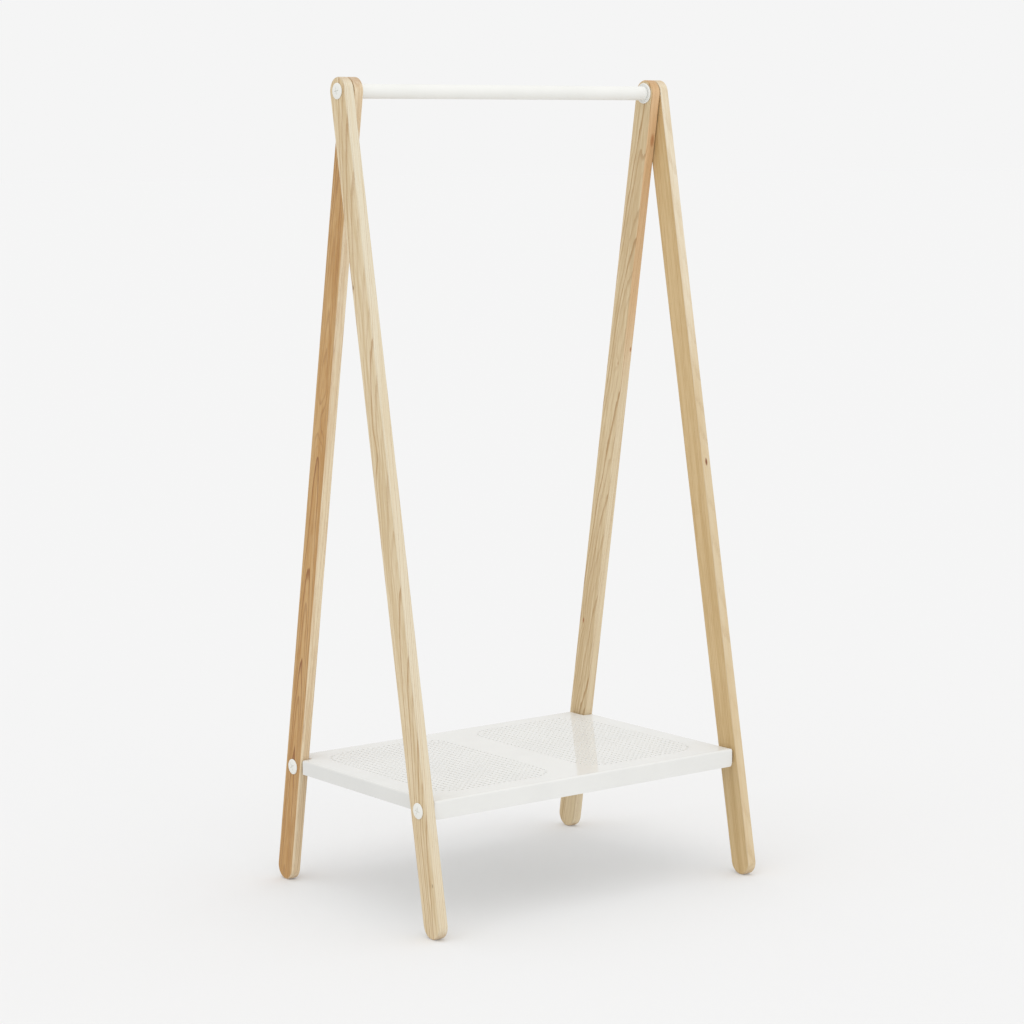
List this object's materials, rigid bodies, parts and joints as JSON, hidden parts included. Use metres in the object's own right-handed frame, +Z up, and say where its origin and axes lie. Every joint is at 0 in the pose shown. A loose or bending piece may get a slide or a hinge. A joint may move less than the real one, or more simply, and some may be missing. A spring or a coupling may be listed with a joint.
{
  "type": "clothes rack",
  "caption": "Free-standing A-frame clothes rack: crossed wooden legs, a white round hanging rail across the top and a perforated white metal tray near the floor.",
  "frame": {"origin": "on the floor, midway between the four feet and under the middle of the rail", "axes": "+X along the rail to the right, +Y to the back (the side of the rear legs), +Z up"},
  "size_m": [0.7918, 0.5988, 1.6005],
  "materials": {
    "leg_wood": "clear matt lacquer on pale ash, with visible grain and a few pin knots",
    "rail_paint": "satin white powder coat",
    "tray_paint": "semi-gloss white powder coat",
    "bolt_paint": "white painted bolt with a low domed head and a cross recess",
    "nylon": "natural white nylon",
    "zinc_steel": "bright zinc-plated steel"
  },
  "bodies": {
    "root": {"leg_front_left": "leg_wood", "leg_front_right": "leg_wood", "leg_rear_left": "leg_wood", "leg_rear_right": "leg_wood", "rail_tube": "rail_paint", "rail_collar_left": "rail_paint", "rail_collar_right": "rail_paint", "rail_plug_left": "zinc_steel", "rail_plug_right": "zinc_steel", "pivot_bolt_left": "bolt_paint", "pivot_bolt_right": "bolt_paint", "pivot_washer_left": "nylon", "pivot_washer_right": "nylon", "tray": "tray_paint", "tray_bolt_front_left": "bolt_paint", "tray_bolt_front_right": "bolt_paint", "tray_bolt_rear_left": "bolt_paint", "tray_bolt_rear_right": "bolt_paint", "tray_spacer_front_left": "nylon", "tray_spacer_front_right": "nylon", "tray_spacer_rear_left": "nylon", "tray_spacer_rear_right": "nylon", "tray_nut_front_left": "zinc_steel", "tray_nut_front_right": "zinc_steel", "tray_nut_rear_left": "zinc_steel", "tray_nut_rear_right": "zinc_steel"}
  },
  "joints": []
}
